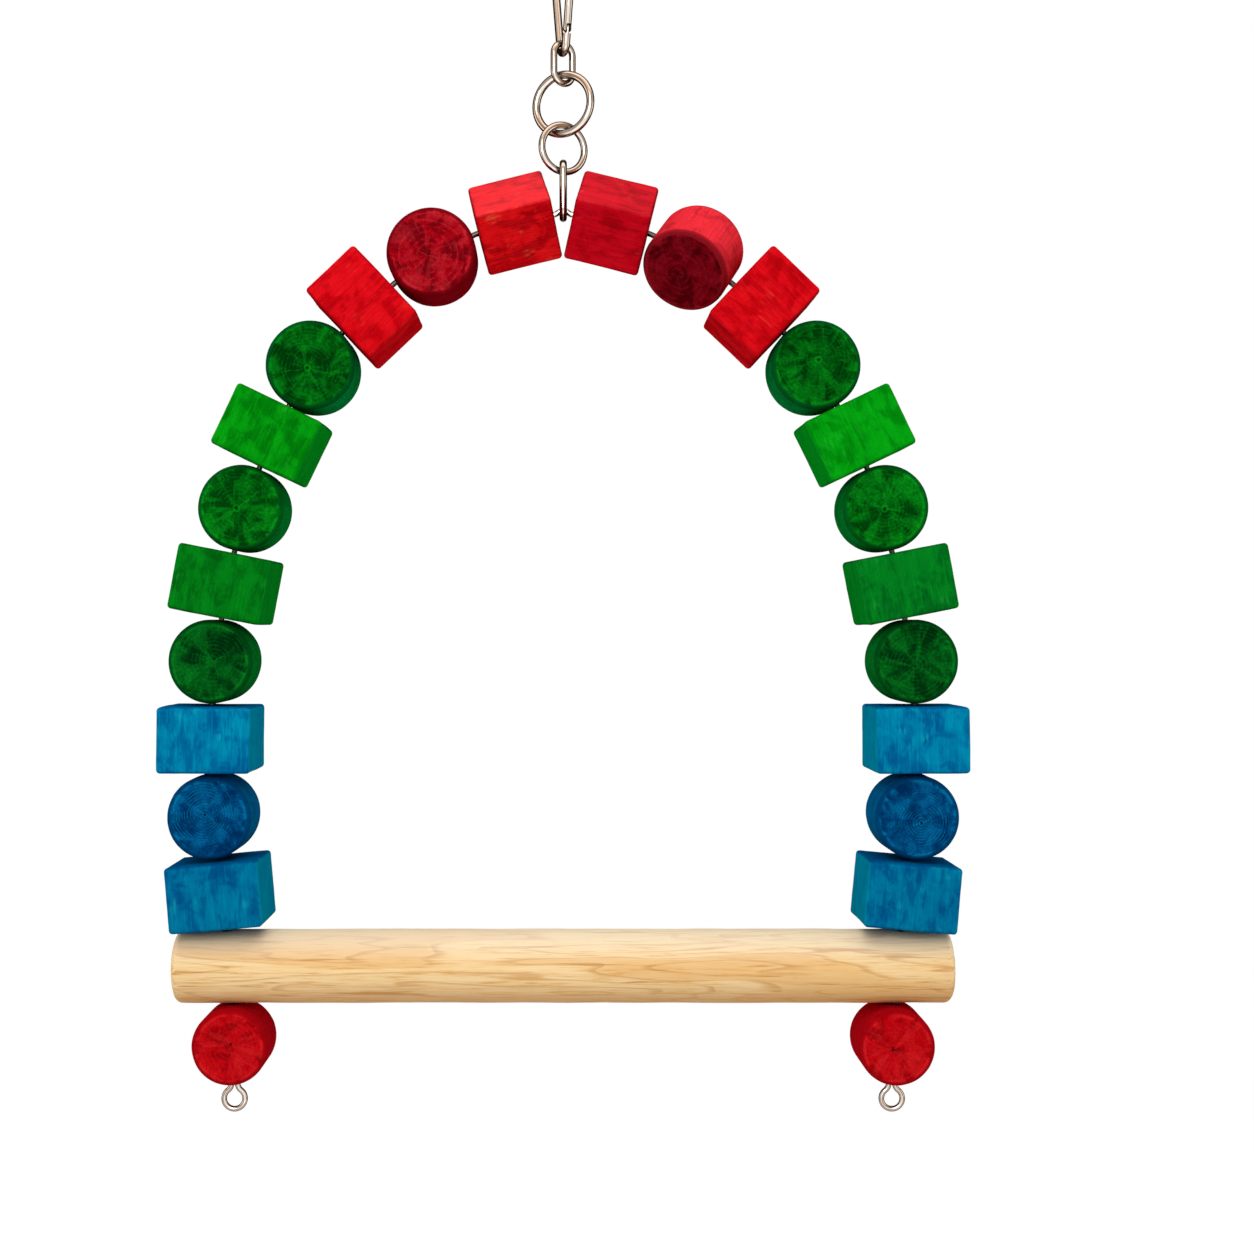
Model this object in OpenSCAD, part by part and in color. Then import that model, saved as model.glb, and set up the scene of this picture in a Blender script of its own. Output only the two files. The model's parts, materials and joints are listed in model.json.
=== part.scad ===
// Hanging bird swing: a bent wire arch strung with dyed wooden beads, a
// wooden perch across its feet, and a hanger of rings, links and a snap hook.
// Millimetres. The origin is the hang point, inside the top bend of the snap
// hook, with +Z up and the perch along X.

/* [Wire arch] */
// Diameter of the arch wire
wire_d = 3.2; // [2.4:0.1:4.4]
// Bend radius of the wire in the small upstand over the lowest link
peak_r = 4.2; // [4.2:0.1:6]
// Slope of the wire on each side of the upstand, in degrees
peak_slope = 36; // [25:1:42]
// Bend radius where the upstand runs out into the crown
saddle_r = 5; // [4:0.5:10]
// Slope of the wire where the crown begins, in degrees
crown_slope = 6; // [3:1:9]
// Bend radius of the crown
crown_r = 163; // [150:1:190]
// Turn of the crown on each side, in degrees
crown_turn = 27; // [24:1:30]
// Bend radius of the shoulder
shoulder_r = 250; // [230:1:290]
// Turn of the shoulder, in degrees
shoulder_turn = 39; // [34:1:42]
// Bend radius of the side
side_r = 470; // [430:5:600]
// Turn of the side, in degrees
side_turn = 23; // [20:1:26]
// Bend radius that brings the wire upright inside the foot bead
foot_r = 120; // [60:5:140]
// Inside width of the wire eye at each foot
eye_w = 8.8; // [7:0.2:12]
// Bend radius of the eye's neck
eye_neck_r = 5; // [4:0.5:8]
// Bare wire between the foot bead and the eye's neck
eye_drop = 2.4; // [1:0.2:6]
// Length of the wire's end that turns back up into the foot bead
eye_return = 17; // [8:1:20]

/* [Wooden beads] */
// Size of an end cube across its faces
cube_w = 39; // [34:0.5:42]
// Length of an end cube along the wire
cube_len = 44; // [40:0.5:46]
// Turn of the end cubes about the wire, in degrees
cube_roll = 40; // [30:1:50]
// Width of a side block across the wire
block_w = 53; // [48:0.5:56]
// Depth of a side block from front to back
block_depth = 50; // [44:0.5:54]
// Length of a side block along the wire
block_len = 37.6; // [34:0.2:40]
// Diameter of the two largest round beads on each side
round_large_d = 51; // [48:0.5:53]
// Diameter of the round bead below them
round_middle_d = 49; // [46:0.5:51]
// Diameter of the round beads lower down
round_small_d = 48; // [45:0.5:50]
// Diameter of the foot beads under the perch
foot_d = 43.6; // [38:0.2:46]
// Thickness of every round bead
round_t = 35; // [30:0.5:38]
// Turn of the top round bead on the right about the wire, in degrees
round_roll = 46; // [0:1:50]
// Bore of the beads on the arch
bead_bore_d = 5.5; // [5.3:0.1:9]
// Bore of the foot beads, which take both strands of the eye
foot_bore_d = 8; // [7.6:0.2:10]
// Edge radius of the cubes
cube_edge = 3; // [1:0.25:5]
// Edge radius of the blocks
block_edge = 2.2; // [1:0.2:5]
// Rim radius of the round beads
round_edge = 3; // [1:0.25:6]
// Gap along the wire beside the top round bead
loose_gap = 4.2; // [4:0.1:5.4]
// Gap along the wire between the other beads
bead_gap = 1.4; // [1:0.1:2.2]
// Gap along the wire above and below the perch
perch_gap = 0.6; // [0.4:0.1:2]

/* [Perch] */
// Diameter of the perch
perch_d = 42; // [36:0.5:46]
// Length of the perch past the wire at each end
perch_overhang = 30.3; // [24:0.1:42]
// Edge radius of the perch's ends
perch_edge = 4; // [1:0.5:8]
// Bore through the perch for the wire
perch_bore_d = 9; // [8:0.2:12]

/* [Rings and links] */
// Wire of the small ring
small_ring_wire = 4; // [3:0.1:5]
// Outside diameter of the small ring
small_ring_d = 30.8; // [28:0.2:36]
// Turn of the small ring about the vertical, in degrees
small_ring_turn = 25; // [15:1:35]
// Wire of the large ring
large_ring_wire = 4.6; // [4:0.1:5.4]
// Outside diameter of the large ring
large_ring_d = 38.4; // [34:0.2:44]
// Turn of the large ring about the vertical, in degrees
large_ring_turn = -23; // [-30:1:-18]
// Wire of the long link
long_link_wire = 4.3; // [3.6:0.1:4.6]
// Outside length of the long link
long_link_len = 35.6; // [32:0.2:44]
// Outside width of the long link
long_link_w = 15; // [14.4:0.2:18]
// Wire of the chain link
chain_link_wire = 4; // [3.4:0.1:4.4]
// Outside length of the chain link
chain_link_len = 26.6; // [25:0.2:34]
// Outside width of the chain link
chain_link_w = 17; // [16:0.2:20]
// Turn of the chain link about the vertical, in degrees
chain_link_turn = 36; // [30:1:40]
// Running clearance where two links cross
link_clear = 0.6; // [0.4:0.05:0.9]

/* [Snap hook] */
// Wire of the snap hook
hook_wire = 4.7; // [4:0.1:5]
// Outside length of the snap hook
hook_len = 80.2; // [76:0.1:100]
// Bend radius of the wire at the foot of the hook
hook_foot_r = 4.9; // [4.9:0.1:7]
// Bend radius of the wire at the head of the hook
hook_head_r = 16.5; // [14:0.5:20]
// Turn of the hook about the vertical, in degrees
hook_turn = -70; // [-80:1:-60]
// Distance of the gate's pin up the side from the foot bend
hinge_rise = 8.4; // [8:0.2:14]
// Distance of the gate's tip from the head bend
nose_drop = 3.6; // [3:0.2:8]
// Thickness of the flattened tabs at both ends of the hook's wire
tab_t = 2; // [1.6:0.1:2.4]
// Length of the nose tab that the gate closes on
nose_tab = 4; // [3:0.2:6]
// Diameter of the gate's pin
pin_d = 1.6; // [1.2:0.1:2]
// Clearance of the gate on its pin and tabs
gate_clear = 0.25; // [0.2:0.05:0.35]
// Outside diameter of the spring inside the gate
spring_d = 2.2; // [1.8:0.1:2.4]
// Wire of the spring inside the gate
spring_wire = 0.4; // [0.3:0.05:0.5]
// Length of the spring inside the gate
spring_len = 12; // [8:0.5:16]
// Length of the plunger between the spring and the hook's tab
plunger_len = 4; // [3:0.5:6]

/* [Hidden] */
$fn = 64;
left = -1;
right = 1;
overrun = 1;
rim_step = 15;
cube_facets = 20;
block_facets = 24;
hang_colour = "silver";

// Heights of the hanger's pieces, each hung from the one above it.
hook_head_z = hook_wire / 2 - hook_head_r;
hook_foot_z = hook_wire - hook_len + hook_wire / 2 + hook_foot_r;
hook_lean = asin((hook_head_r - hook_foot_r) / (hook_head_z - hook_foot_z));
hook_side = (hook_head_z - hook_foot_z) * cos(hook_lean);
chain_link_z = hook_foot_z - hook_foot_r + seat(hook_wire, chain_link_wire)
    - (chain_link_len - chain_link_wire) / 2;
large_ring_z = chain_link_z - (chain_link_len - chain_link_wire) / 2
    + seat(chain_link_wire, large_ring_wire) - (large_ring_d - large_ring_wire) / 2;
small_ring_z = large_ring_z - (large_ring_d - large_ring_wire) / 2
    + seat(large_ring_wire, small_ring_wire) - (small_ring_d - small_ring_wire) / 2;
long_link_z = small_ring_z - (small_ring_d - small_ring_wire) / 2
    + seat(small_ring_wire, long_link_wire) - (long_link_len - long_link_wire) / 2;
sway_z = long_link_z - (long_link_len - long_link_wire) / 2;
peak_z = sway_z + peak_r;

// Distance between the wires of two links that hang in each other.
function seat(wire_a, wire_b) = (wire_a + wire_b) / 2 + link_clear;

// The slope of the wire where the side ends. The lowest block leans with it, so
// its outer edge reaches down to the perch by this much more than its middle.
side_end_turn = crown_slope + crown_turn + shoulder_turn + side_turn;
block_drop = block_w / 2 * sin(side_end_turn - 90);

// The stack of beads down each side: lengths along the wire, and the gap that
// comes after each. The perch is one of them, above the foot bead.
stack_lengths = [cube_len, round_large_d, block_len, round_large_d, block_len, round_middle_d,
    block_len, round_small_d, block_len, round_small_d, block_len, perch_d, foot_d];
stack_gaps = [loose_gap, loose_gap, bead_gap, bead_gap, bead_gap, bead_gap,
    bead_gap, bead_gap, bead_gap, bead_gap, perch_gap + block_drop, perch_gap, perch_gap];
perch_index = 11;
foot_index = 12;

// The end cubes start where their lowest corners nearly meet under the link.
cube_start = cube_w / sqrt(2) * tan(crown_slope + (cube_len / 2) / crown_r * 180 / PI);
function stack_top(index) =
    index == 0 ? cube_start : stack_top(index - 1) + stack_lengths[index - 1] + stack_gaps[index - 1];
bead_at = [for (index = [0:foot_index]) stack_top(index) + stack_lengths[index] / 2];

// The wire's right half, from the middle of the upstand down to the eye, as
// runs of [turn in degrees, bend radius, length]. A turn of zero is straight,
// a positive turn bends down and inwards, a negative one bends back.
function bend(turn, radius) = [turn, radius, abs(turn) * PI / 180 * radius];
function straight(length) = [0, 0, length];
strand_gap = wire_d / 10;
strand_offset = (wire_d + strand_gap) / 2;
eye_r = (eye_w + wire_d) / 2;
neck_turn = acos((strand_offset + eye_neck_r) / (eye_neck_r + eye_r));
upper_runs = [
    bend(peak_slope, peak_r),
    straight(wire_d / 3),
    bend(crown_slope - peak_slope, saddle_r),
    bend(crown_turn, crown_r),
    bend(shoulder_turn, shoulder_r),
    bend(side_turn, side_r)];
upper_length = run_length(upper_runs, len(upper_runs));
foot_bend = bend(90 - side_end_turn, foot_r);
lower_runs = [
    straight(bead_at[foot_index] - foot_d / 2 - upper_length),
    foot_bend,
    straight(foot_d + eye_drop - foot_bend[2])];
eye_runs = [
    bend(-neck_turn, eye_neck_r),
    bend(180 + 2 * neck_turn, eye_r),
    bend(-neck_turn, eye_neck_r),
    straight(eye_return)];
wire_runs = concat(upper_runs, lower_runs, eye_runs);

// Every other run of a bent wire is a hair thinner and laps into the runs on
// both sides of it, so that they all fuse into one wire.
function lap(wire) = wire / 16;
function thinned(wire) = wire - wire / 160;

// Length of the first so many runs.
function run_length(runs, count) = count == 0 ? 0 : runs[count - 1][2] + run_length(runs, count - 1);

// Place and slope [x, z, slope] after going along one run from a start.
function along(start, run, distance) =
    run[0] == 0
    ? [start[0] + distance * cos(start[2]), start[1] - distance * sin(start[2]), start[2]]
    : let (way = sign(run[0]) * run[1], after = start[2] + distance / way * 180 / PI)
      [start[0] + way * (sin(after) - sin(start[2])), start[1] + way * (cos(after) - cos(start[2])), after];

// Place and slope at the start of a run, counted from zero.
function run_start(index) =
    index == 0
    ? [0, peak_z, 0]
    : along(run_start(index - 1), wire_runs[index - 1], wire_runs[index - 1][2]);

// Place and slope at a distance along the wire from its middle.
function wire_at(distance, index = 0) =
    distance <= wire_runs[index][2] || index == len(wire_runs) - 1
    ? along(run_start(index), wire_runs[index], distance)
    : wire_at(distance - wire_runs[index][2], index + 1);

// Straight wire up Z from zero, thinned and lapped past both its ends.
module lapped_rod(length, wire) {
    translate([0, 0, -lap(wire)]) cylinder(h = length + 2 * lap(wire), d = thinned(wire));
}

// One run of round wire, laid in the plane of the arch from its start, with
// the given lap past both its ends.
module wire_run(start, run, wire, lap) {
    turn = run[0];
    radius = run[1];
    way = sign(turn);
    lap_turn = turn == 0 ? 0 : lap / radius * 180 / PI;
    translate([start[0], 0, start[1]])
        if (turn == 0)
            rotate([0, 90 + start[2], 0])
                translate([0, 0, -lap]) cylinder(h = run[2] + 2 * lap, d = wire);
        else
            translate([-way * radius * sin(start[2]), 0, -way * radius * cos(start[2])])
                rotate([90, 0, 0])
                    rotate([0, 0, (turn > 0 ? 90 - start[2] - turn : 270 - start[2]) - lap_turn])
                        rotate_extrude(angle = abs(turn) + 2 * lap_turn)
                            translate([radius, 0])
                                circle(d = wire);
}

module half_wire() {
    last = len(wire_runs) - 1;
    for (index = [1:last])
        if (index % 2 == 0)
            wire_run(run_start(index), wire_runs[index], wire_d, 0);
        else
            wire_run(run_start(index), wire_runs[index], thinned(wire_d), lap(wire_d));
}

module arch_wire() {
    upstand = bend(2 * peak_slope, peak_r);
    color(hang_colour) {
        wire_run([-peak_r * sin(peak_slope), peak_z - peak_r + peak_r * cos(peak_slope), -peak_slope],
            upstand, wire_d, 0);
        half_wire();
        mirror([1, 0, 0]) half_wire();
    }
}

// Place and slope of a bead: it lies along the wire's chord, and halfway out
// to the wire's bow, so that the bent wire runs down the middle of its bore.
function bead_place(index) =
    let (
        half = stack_lengths[index] / 2,
        start = wire_at(bead_at[index] - half),
        middle = wire_at(bead_at[index]),
        end = wire_at(bead_at[index] + half))
    [(start[0] + 2 * middle[0] + end[0]) / 4, (start[1] + 2 * middle[1] + end[1]) / 4,
        atan2(start[1] - end[1], end[0] - start[0])];

// Stands a bead at its place on the wire: its own Z runs down the wire.
module on_wire(index, side, roll = 0) {
    place = bead_place(index);
    translate([side * place[0], 0, place[1]])
        rotate([0, side * (90 + place[2]), 0])
            rotate([0, 0, roll])
                children();
}

// Block with every edge rounded, centred, drilled along Z.
module drilled_block(size, edge, bore, facets) {
    difference() {
        hull()
            for (x = [left, right], y = [left, right], z = [left, right])
                translate([x * (size[0] / 2 - edge), y * (size[1] / 2 - edge), z * (size[2] / 2 - edge)])
                    sphere(r = edge, $fn = facets);
        cylinder(h = size[2] + 2 * overrun, d = bore, center = true);
    }
}

// Half outline of a disc with a rounded rim, for turning about its axis.
module rim_outline(diameter, thickness, edge) {
    rim = [for (angle = [-90:rim_step:0])
        [diameter / 2 - edge + edge * cos(angle), edge - thickness / 2 + edge * sin(angle)]];
    rest = [for (index = [len(rim) - 1:-1:0]) [rim[index][0], -rim[index][1]]];
    polygon(concat([[0, -thickness / 2]], rim, rest, [[0, thickness / 2]]));
}

// Round bead: its flat faces look along Y, and it is drilled across along Z.
module drilled_round(diameter, bore) {
    difference() {
        rotate([90, 0, 0])
            rotate_extrude() rim_outline(diameter, round_t, round_edge);
        cylinder(h = diameter + 2 * overrun, d = bore, center = true);
    }
}

module end_cube(side) {
    on_wire(0, side, side * cube_roll)
        drilled_block([cube_w, cube_w, cube_len], cube_edge, bead_bore_d, cube_facets);
}

module side_block(index, side) {
    on_wire(index, side)
        drilled_block([block_w, block_depth, block_len], block_edge, bead_bore_d, block_facets);
}

module side_round(index, side, roll = 0) {
    on_wire(index, side, roll)
        drilled_round(stack_lengths[index], bead_bore_d);
}

module red_cube(side) { color("crimson") end_cube(side); }
module red_round(side) { color("crimson") side_round(1, side, side == right ? round_roll : 0); }
module red_block(side) { color("crimson") side_block(2, side); }
module green_round_1(side) { color("green") side_round(3, side); }
module green_block_1(side) { color("limegreen") side_block(4, side); }
module green_round_2(side) { color("green") side_round(5, side); }
module green_block_2(side) { color("limegreen") side_block(6, side); }
module green_round_3(side) { color("green") side_round(7, side); }
module blue_block_1(side) { color("deepskyblue") side_block(8, side); }
module blue_round(side) { color("royalblue") side_round(9, side); }
module blue_block_2(side) { color("deepskyblue") side_block(10, side); }

// The foot bead hangs on the two strands of the eye, so it stands upright.
module foot_round(side) {
    place = wire_at(bead_at[foot_index]);
    color("crimson")
        translate([side * (place[0] - strand_offset), 0, place[1]])
            drilled_round(foot_d, foot_bore_d);
}

module perch() {
    place = wire_at(bead_at[perch_index]);
    color("burlywood")
        translate([0, 0, place[1]])
            difference() {
                rotate([0, 90, 0])
                    rotate_extrude() rim_outline(perch_d, 2 * (place[0] + perch_overhang), perch_edge);
                for (side = [left, right])
                    translate([side * place[0], 0, 0])
                        cylinder(h = perch_d + 2 * overrun, d = perch_bore_d, center = true);
            }
}

// Closed link of round wire with half-round ends, its length along Z.
module oval_link(length, width, wire) {
    end_r = (width - wire) / 2;
    flank = length - wire - 2 * end_r;
    rotate([90, 0, 0])
        for (end = [0, 180])
            rotate([0, 0, end]) {
                translate([0, flank / 2, 0])
                    rotate_extrude(angle = 180)
                        translate([end_r, 0])
                            circle(d = wire);
                translate([end_r, flank / 2, 0])
                    rotate([90, 0, 0]) lapped_rod(flank, wire);
            }
}

module ring(diameter, wire) {
    rotate([90, 0, 0])
        rotate_extrude()
            translate([(diameter - wire) / 2, 0])
                circle(d = wire);
}

module chain_link() {
    color(hang_colour)
        translate([0, 0, chain_link_z])
            rotate([0, 0, chain_link_turn])
                oval_link(chain_link_len, chain_link_w, chain_link_wire);
}

module large_ring() {
    color(hang_colour)
        translate([0, 0, large_ring_z])
            rotate([0, 0, large_ring_turn])
                ring(large_ring_d, large_ring_wire);
}

module small_ring() {
    color(hang_colour)
        translate([0, 0, small_ring_z])
            rotate([0, 0, small_ring_turn])
                ring(small_ring_d, small_ring_wire);
}

module long_link() {
    color(hang_colour)
        translate([0, 0, long_link_z])
            rotate([0, 0, 90])
                oval_link(long_link_len, long_link_w, long_link_wire);
}

// Stands a piece on the hook's gate side: its Z runs up the side's middle line
// from the foot bend, its X points away from the hook and its Y across it.
module on_gate_side(rise) {
    translate([hook_foot_r * cos(hook_lean), 0, hook_foot_z - hook_foot_r * sin(hook_lean)])
        rotate([0, hook_lean, 0])
            translate([0, 0, rise])
                children();
}

module turned_hook() {
    rotate([0, 0, hook_turn]) children();
}

// The pin's shoulder room: the gate's end turns about the pin inside it.
gate_d = hook_wire;
gate_end = gate_d / 2;
gate_chamfer = gate_d / 5;
shoulder_room = norm([gate_end - gate_chamfer, gate_end]) + gate_clear;
gate_tip = hook_side - nose_drop;
slot_w = tab_t + 2 * gate_clear;
tab_round_r = hook_wire / 2 - gate_clear;

// Flattened end of the hook's wire, its Z up the side, its length from zero.
module flat_tab(length) {
    translate([-tab_round_r, -tab_t / 2, 0])
        cube([2 * tab_round_r, tab_t, length]);
}

module hook_body() {
    color(hang_colour)
        turned_hook() {
            // Foot bend, back strand and head bend.
            translate([0, 0, hook_foot_z])
                rotate([90, 0, 0])
                    rotate([0, 0, 180 + hook_lean])
                        rotate_extrude(angle = 180 - 2 * hook_lean)
                            translate([hook_foot_r, 0]) circle(d = hook_wire);
            mirror([1, 0, 0])
                on_gate_side(0) lapped_rod(hook_side, hook_wire);
            translate([0, 0, hook_head_z])
                rotate([90, 0, 0])
                    rotate([0, 0, -hook_lean])
                        rotate_extrude(angle = 180 + 2 * hook_lean)
                            translate([hook_head_r, 0]) circle(d = hook_wire);
            // Lower end with the hinge tab.
            on_gate_side(0) lapped_rod(hinge_rise - shoulder_room - lap(hook_wire), hook_wire);
            difference() {
                union() {
                    on_gate_side(hinge_rise - shoulder_room - tab_t) flat_tab(shoulder_room + tab_t);
                    on_gate_side(hinge_rise)
                        rotate([90, 0, 0]) cylinder(h = tab_t, r = tab_round_r, center = true);
                }
                on_gate_side(hinge_rise)
                    rotate([90, 0, 0]) cylinder(h = tab_t + 2 * overrun, d = pin_d, center = true);
            }
            // Upper end with the nose tab.
            on_gate_side(gate_tip + gate_clear + lap(hook_wire))
                lapped_rod(nose_drop - gate_clear - lap(hook_wire), hook_wire);
            on_gate_side(gate_tip + gate_clear - nose_tab) flat_tab(nose_tab + tab_t);
        }
}

// Half outline of the gate's rod with its chamfered ends, foot end at zero.
module gate_outline(length) {
    polygon([
        [0, 0], [gate_d / 2 - gate_chamfer, 0], [gate_d / 2, gate_chamfer],
        [gate_d / 2, length - gate_chamfer], [gate_d / 2 - gate_chamfer, length], [0, length]]);
}

spring_start = tab_round_r + gate_clear + plunger_len;
module hook_gate() {
    length = gate_tip - hinge_rise + gate_end;
    lower_slot = gate_end + tab_round_r + gate_clear;
    upper_slot = nose_tab + gate_clear;
    color(hang_colour)
        turned_hook()
            on_gate_side(hinge_rise - gate_end)
                difference() {
                    rotate_extrude() gate_outline(length);
                    translate([-gate_d, -slot_w / 2, -overrun])
                        cube([2 * gate_d, slot_w, lower_slot + overrun]);
                    translate([-gate_d, -slot_w / 2, length - upper_slot])
                        cube([2 * gate_d, slot_w, upper_slot + overrun]);
                    translate([0, 0, gate_end])
                        rotate([90, 0, 0])
                            cylinder(h = gate_d + 2 * overrun, d = pin_d + gate_clear, center = true);
                    translate([0, 0, gate_end])
                        cylinder(h = spring_start + spring_len, d = spring_d + gate_clear);
                }
}

module gate_pin() {
    color(hang_colour)
        turned_hook()
            on_gate_side(hinge_rise)
                rotate([90, 0, 0]) cylinder(h = gate_d, d = pin_d, center = true);
}

module gate_plunger() {
    color(hang_colour)
        turned_hook()
            on_gate_side(hinge_rise + tab_round_r + gate_clear)
                cylinder(h = plunger_len, d = spring_d);
}

module gate_spring() {
    color(hang_colour)
        turned_hook()
            on_gate_side(hinge_rise + spring_start)
                difference() {
                    cylinder(h = spring_len, d = spring_d);
                    translate([0, 0, -overrun])
                        cylinder(h = spring_len + 2 * overrun, d = spring_d - 2 * spring_wire);
                }
}

hook_body();
hook_gate();
gate_pin();
gate_spring();
gate_plunger();
chain_link();
large_ring();
small_ring();
long_link();
arch_wire();
perch();
red_cube(left);  // red_cube_left
red_cube(right);  // red_cube_right
red_round(left);  // red_round_left
red_round(right);  // red_round_right
red_block(left);  // red_block_left
red_block(right);  // red_block_right
green_round_1(left);  // green_round_1_left
green_round_1(right);  // green_round_1_right
green_block_1(left);  // green_block_1_left
green_block_1(right);  // green_block_1_right
green_round_2(left);  // green_round_2_left
green_round_2(right);  // green_round_2_right
green_block_2(left);  // green_block_2_left
green_block_2(right);  // green_block_2_right
green_round_3(left);  // green_round_3_left
green_round_3(right);  // green_round_3_right
blue_block_1(left);  // blue_block_1_left
blue_block_1(right);  // blue_block_1_right
blue_round(left);  // blue_round_left
blue_round(right);  // blue_round_right
blue_block_2(left);  // blue_block_2_left
blue_block_2(right);  // blue_block_2_right
foot_round(left);  // foot_round_left
foot_round(right);  // foot_round_right
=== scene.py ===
# %% [markdown]
# # A wooden bird swing on a wire arch
# The finished thing is a perch that hangs under an arch of bent wire. Dyed
# wooden blocks and rounds are threaded on the wire, and a chain of rings and
# links ends in a snap hook. The solid model comes in already sized and jointed.
# This lesson dresses it: the wood gets its grain and dye, and the wire its
# plating.

# %% Bring in the solid model
import json
import math

import bmesh
import bpy
from mathutils import Matrix, Vector, noise


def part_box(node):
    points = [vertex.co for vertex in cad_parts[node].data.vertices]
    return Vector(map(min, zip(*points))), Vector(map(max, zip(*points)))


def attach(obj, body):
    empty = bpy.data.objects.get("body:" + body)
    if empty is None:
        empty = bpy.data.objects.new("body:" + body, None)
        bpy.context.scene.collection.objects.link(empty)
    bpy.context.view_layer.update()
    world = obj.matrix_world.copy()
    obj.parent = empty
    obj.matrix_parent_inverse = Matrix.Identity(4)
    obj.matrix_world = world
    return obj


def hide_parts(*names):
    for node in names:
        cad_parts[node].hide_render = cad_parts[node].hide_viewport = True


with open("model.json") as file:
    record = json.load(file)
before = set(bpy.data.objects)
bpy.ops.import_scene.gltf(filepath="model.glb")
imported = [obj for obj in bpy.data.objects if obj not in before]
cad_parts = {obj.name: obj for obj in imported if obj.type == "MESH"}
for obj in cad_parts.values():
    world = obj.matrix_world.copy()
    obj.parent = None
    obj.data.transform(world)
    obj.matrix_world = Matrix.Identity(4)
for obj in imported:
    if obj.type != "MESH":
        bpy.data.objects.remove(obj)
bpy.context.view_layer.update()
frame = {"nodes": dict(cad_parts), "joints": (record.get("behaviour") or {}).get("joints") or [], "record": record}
joints = {joint["name"]: joint for joint in frame["joints"]}
body_of = {node: body for body, nodes in frame["record"]["behaviour"]["bodies"].items() for node in nodes}
MM = 0.001
SIDES = {"left": -1, "right": 1}

# %% [markdown]
# ## The camera
# The picture was taken straight on, from about a metre away, at the height of
# the middle of the arch. The lens is a short telephoto. The swing hangs a
# little left of the middle of the picture, and a small sideways shift of the
# lens does that without turning the camera.

# %% Set up the camera
PICTURE = 1254
SENSOR = 36.0
FOCAL_PIXELS = 1714
EYE_HEIGHT = -0.4009
STAND_OFF = 0.984
SWING_PIXEL = 563.2
EYE_PIXEL = 623.5


def put_in_scene(name, data):
    made = bpy.data.objects.new(name, data)
    bpy.context.scene.collection.objects.link(made)
    return made


camera = put_in_scene("studio_camera", bpy.data.cameras.new("studio_camera"))
camera.location = (0, -STAND_OFF, EYE_HEIGHT)
camera.rotation_euler = (math.radians(90), 0, 0)
camera.data.sensor_width = SENSOR
camera.data.lens = SENSOR * FOCAL_PIXELS / PICTURE
camera.data.shift_x = (PICTURE / 2 - SWING_PIXEL) / PICTURE
camera.data.shift_y = (EYE_PIXEL - PICTURE / 2) / PICTURE
camera.data.clip_start = 0.01
camera.data.clip_end = 60
bpy.context.scene.camera = camera
print("lens", round(camera.data.lens, 2), "shift", round(camera.data.shift_x, 4))

# %% [markdown]
# ## Making nodes in few words
# Every finish below is a small graph of shader nodes. A few helpers keep that
# readable. The first places a node and fills its sockets, either with a value
# or with a link from another node. The others are the sums, fades, mixes and
# noises that every kind of wood needs.


# %% Helpers for shader graphs
def place_node(tree, kind, inputs=None, **settings):
    made = tree.nodes.new("ShaderNode" + kind)
    for name, value in settings.items():
        setattr(made, name, value)
    for name, value in (inputs or {}).items():
        if isinstance(value, bpy.types.NodeSocket):
            tree.links.new(value, made.inputs[name])
        else:
            made.inputs[name].default_value = value
    return made


def work_out(tree, operation, first, second=0.0, third=0.0, clamp=False):
    sums = place_node(tree, "Math", {0: first, 1: second, 2: third}, operation=operation, use_clamp=clamp)
    return sums.outputs[0]


def times(tree, first, second):
    return work_out(tree, "MULTIPLY", first, second)


def on_vectors(tree, operation, place, other=(0, 0, 0)):
    return place_node(tree, "VectorMath", {0: place, 1: other}, operation=operation).outputs[0]


def length_of(tree, place):
    return place_node(tree, "VectorMath", {0: place}, operation="LENGTH").outputs["Value"]


def split(tree, place):
    return place_node(tree, "SeparateXYZ", {0: place}).outputs


def fade(tree, value, start, end, low=0.0, high=1.0):
    ramp = place_node(tree, "MapRange", {0: value, 1: start, 2: end, 3: low, 4: high},
                      interpolation_type="SMOOTHSTEP")
    return ramp.outputs[0]


def mix_colours(tree, amount, first, second, way="MIX"):
    mixer = place_node(tree, "Mix", {0: amount, 6: first, 7: second}, data_type="RGBA", blend_type=way)
    return mixer.outputs[2]


def grainy(tree, place, scale, seed=0.0, detail=2.0, roughness=0.5, distortion=0.0):
    cloud = place_node(tree, "TexNoise", {"Vector": place, "Scale": scale, "W": seed, "Detail": detail,
                                          "Roughness": roughness, "Distortion": distortion},
                       noise_dimensions="4D")
    return cloud.outputs[0]


def dye(red, green, blue):
    """A colour given as it looks on a screen, from 0 to 255, made linear."""
    return tuple(((part / 255 + 0.055) / 1.055) ** 2.4 if part > 10 else part / 255 / 12.92
                 for part in (red, green, blue)) + (1.0,)


print("dye check", [round(part, 3) for part in dye(188, 188, 188)])


# %% [markdown]
# ## Shared effects
# Wood is a solid stuff: the same growth rings that show as circles on a sawn
# end show as long lines on the side of a board. So the rings are worked out in
# three dimensions round the middle of the tree, and each piece only says where
# in the tree it was cut. The effects are node groups, because every bead uses
# them with its own numbers. Lengths inside the groups are millimetres.


# %% A helper that opens a node group
def open_group(name, inputs, outputs):
    group = bpy.data.node_groups.new(name, "ShaderNodeTree")
    for label, kind, value in inputs:
        socket = group.interface.new_socket(name=label, in_out="INPUT", socket_type="NodeSocket" + kind)
        if value is not None:
            socket.default_value = value
    for label in outputs:
        group.interface.new_socket(name=label, in_out="OUTPUT", socket_type="NodeSocketFloat")
    return group, group.nodes.new("NodeGroupInput").outputs, group.nodes.new("NodeGroupOutput").inputs


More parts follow.
